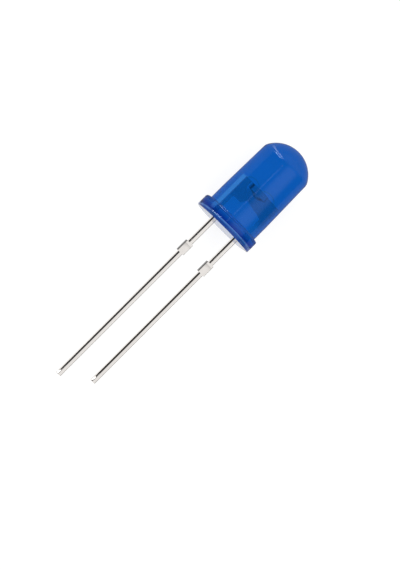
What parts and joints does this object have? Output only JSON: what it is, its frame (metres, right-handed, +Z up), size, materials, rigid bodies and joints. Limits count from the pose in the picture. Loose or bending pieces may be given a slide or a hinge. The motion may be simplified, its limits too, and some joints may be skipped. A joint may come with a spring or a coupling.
{
  "type": "through hole led",
  "caption": "Round 5 mm through hole LED: translucent blue domed lens with a flange and cathode flat, on a stamped lead frame with a long and a short leg.",
  "frame": {"origin": "centre of the flange's underside, the face that sits on a board", "axes": "the lamp lies at rest: the lens axis points along +X and 4.44 degrees below it, +Y is the anode leg's side, +Z is up, and the lamp is rolled 3.9 degrees about its lens axis with the cathode the lower lead"},
  "size_m": [0.027, 0.0055, 0.0059],
  "materials": {
    "tinted_epoxy": "gloss",
    "tinned_steel": "satin",
    "chip": "gloss",
    "adhesive": "satin",
    "gold_wire": "polished"
  },
  "bodies": {
    "root": {"lens_body": "tinted_epoxy", "cathode_lead": "tinned_steel", "anode_lead": "tinned_steel", "led_die": "chip", "die_attach": "adhesive", "anode_bond_wire": "gold_wire", "cathode_bond_wire": "gold_wire"}
  },
  "joints": []
}
